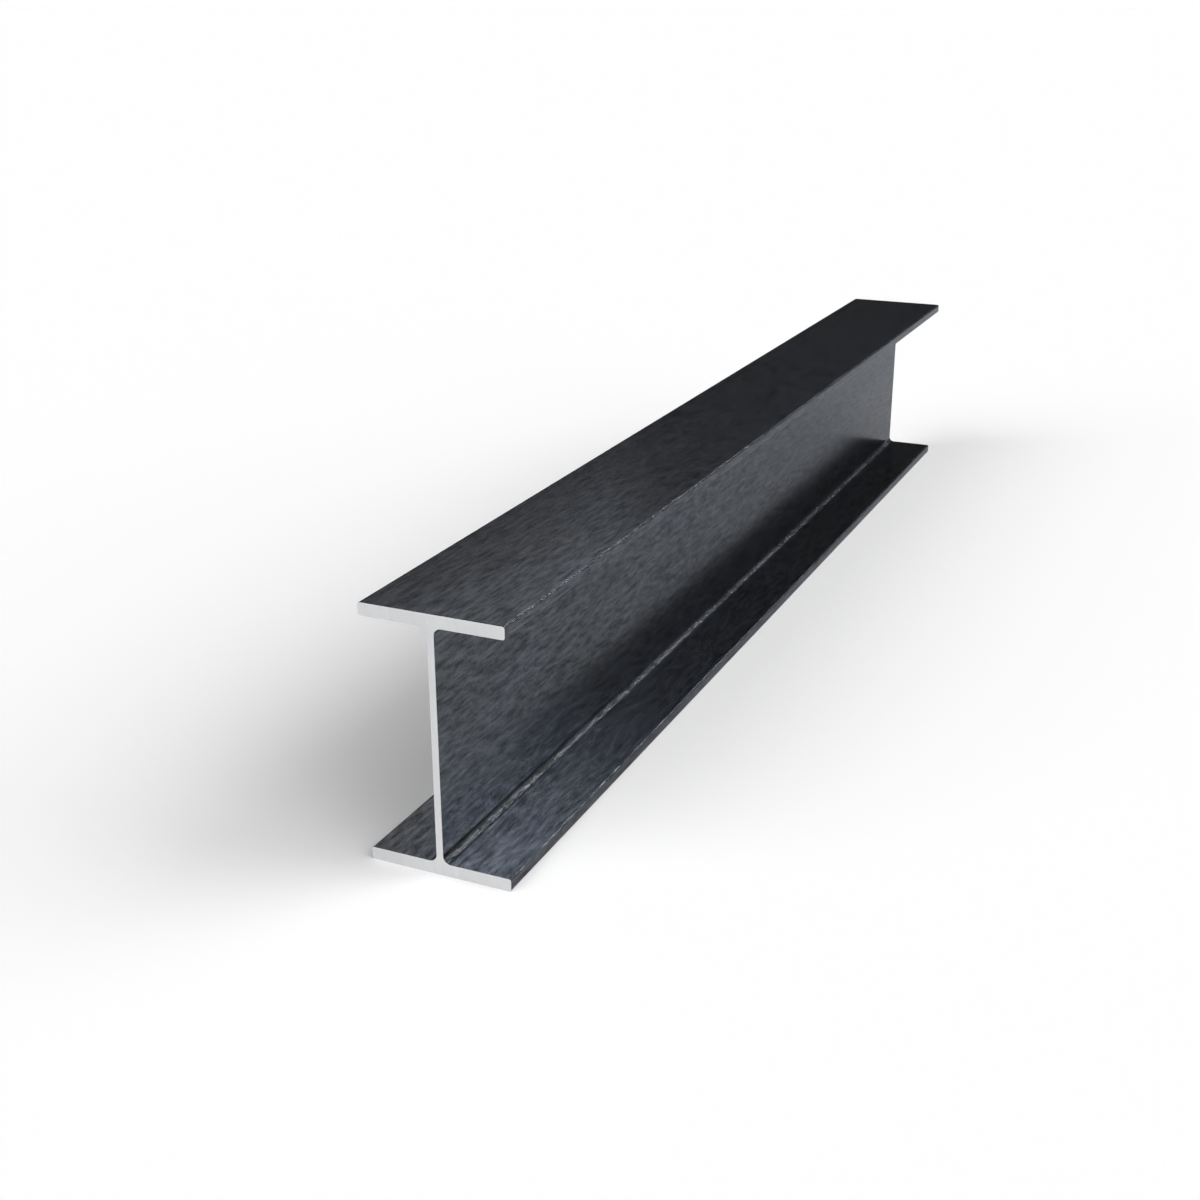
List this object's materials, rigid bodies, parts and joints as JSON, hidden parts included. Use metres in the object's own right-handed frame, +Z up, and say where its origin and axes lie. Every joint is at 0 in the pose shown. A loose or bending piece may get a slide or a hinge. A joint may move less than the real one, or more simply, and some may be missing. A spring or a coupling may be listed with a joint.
{
  "type": "steel i-beam",
  "caption": "Hot-rolled steel I-beam with parallel flanges and filleted web, cut square to length; carries load in bending as a joist, lintel or post.",
  "frame": {"origin": "on the underside of the bottom flange, at mid width and mid length", "axes": "+X along the beam's length, +Y across the flanges, +Z up from the bottom flange to the top flange along the web"},
  "size_m": [1.6, 0.1474, 0.2596],
  "materials": {
    "mill_scale_steel": "satin"
  },
  "bodies": {
    "root": {"i_beam": "mill_scale_steel"}
  },
  "joints": []
}
